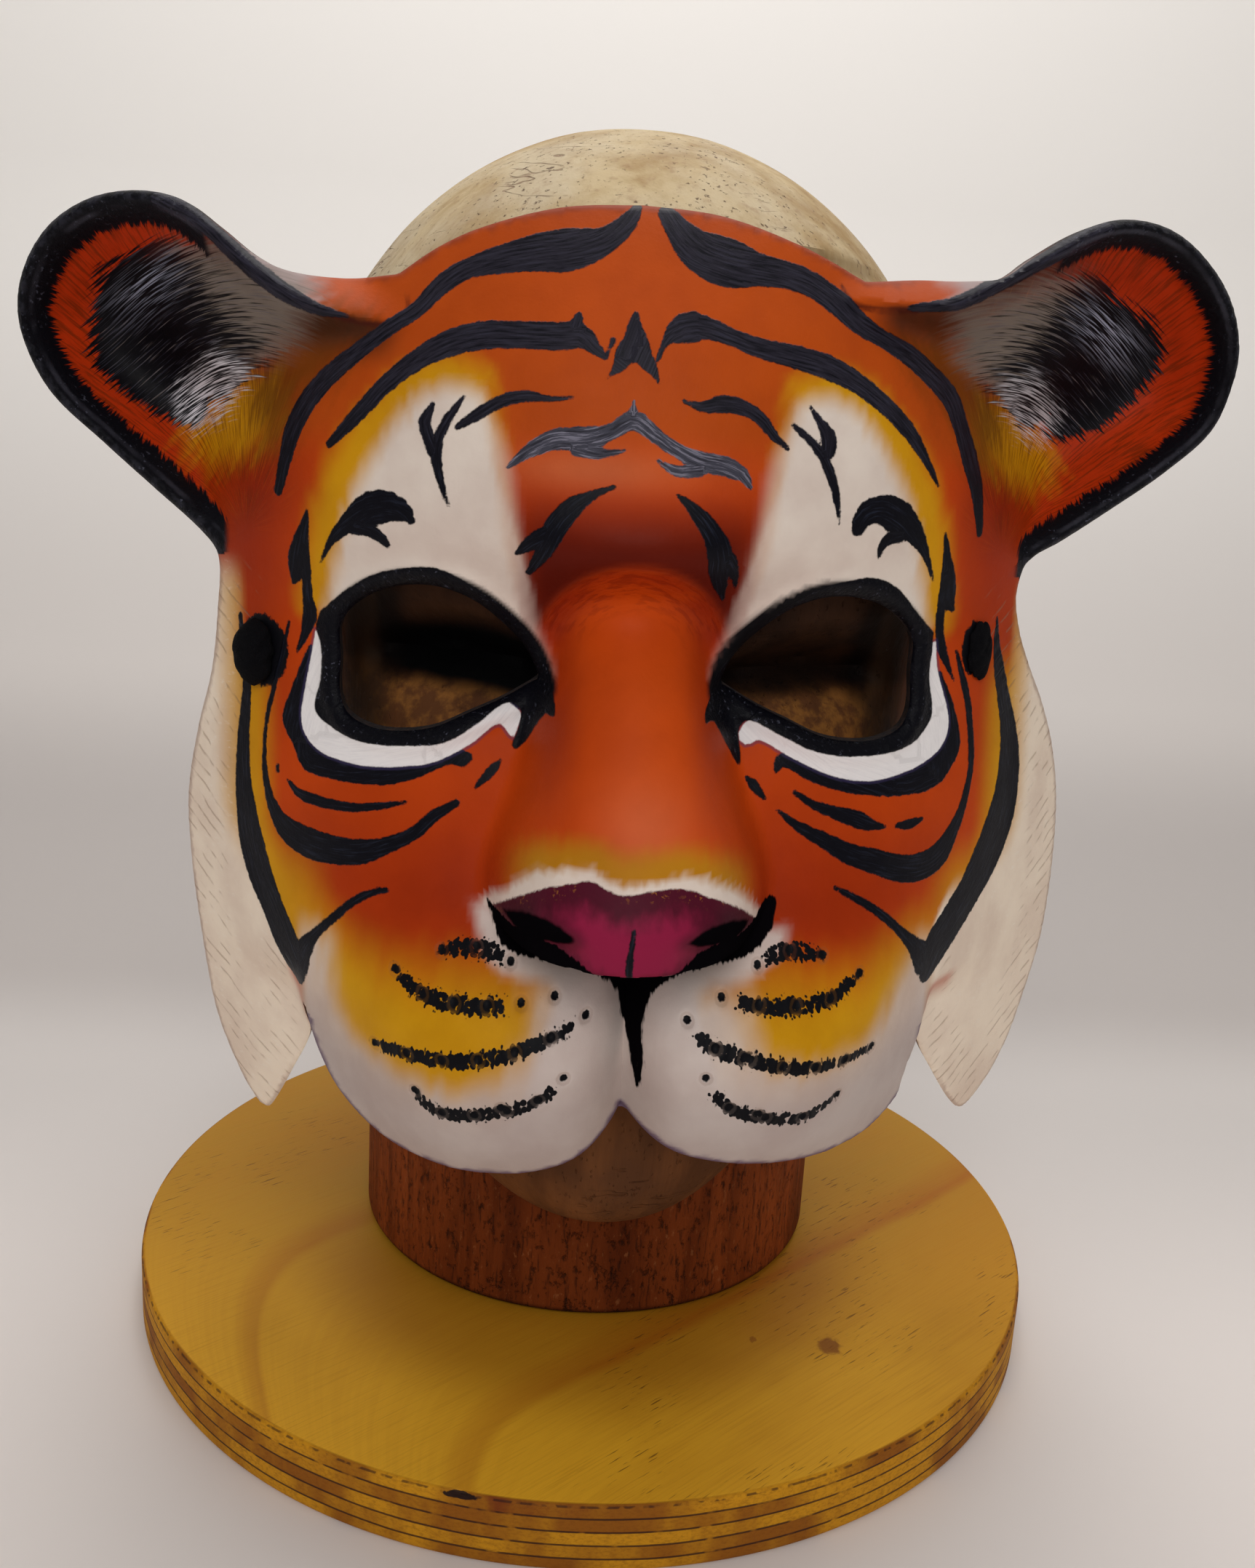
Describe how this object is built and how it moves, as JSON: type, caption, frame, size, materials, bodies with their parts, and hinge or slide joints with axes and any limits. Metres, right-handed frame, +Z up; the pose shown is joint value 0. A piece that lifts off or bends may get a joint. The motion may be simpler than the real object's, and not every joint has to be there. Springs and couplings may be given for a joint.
{
  "type": "tiger mask on a head stand",
  "caption": "Formed and painted leather tiger half mask with round ears and cheek flaps, worn by a carved wooden head on a round plywood board.",
  "frame": {"origin": "centre of the base board's underside", "axes": "+Z up, the mask looks along -Y, the mask's own left ear at +X"},
  "size_m": [0.2437, 0.2309, 0.2738],
  "materials": {
    "painted_leather": "satin paint in orange, yellow, white and black",
    "black_tie": "matt black cord",
    "head_wood": "worn carved wood, pale crown and red-brown neck",
    "plywood": "oiled pine plywood with bare layered edge"
  },
  "bodies": {
    "root": {"mask": "painted_leather", "tie_knot_left": "black_tie", "tie_knot_right": "black_tie", "head_form": "head_wood", "base_board": "plywood"}
  },
  "joints": []
}
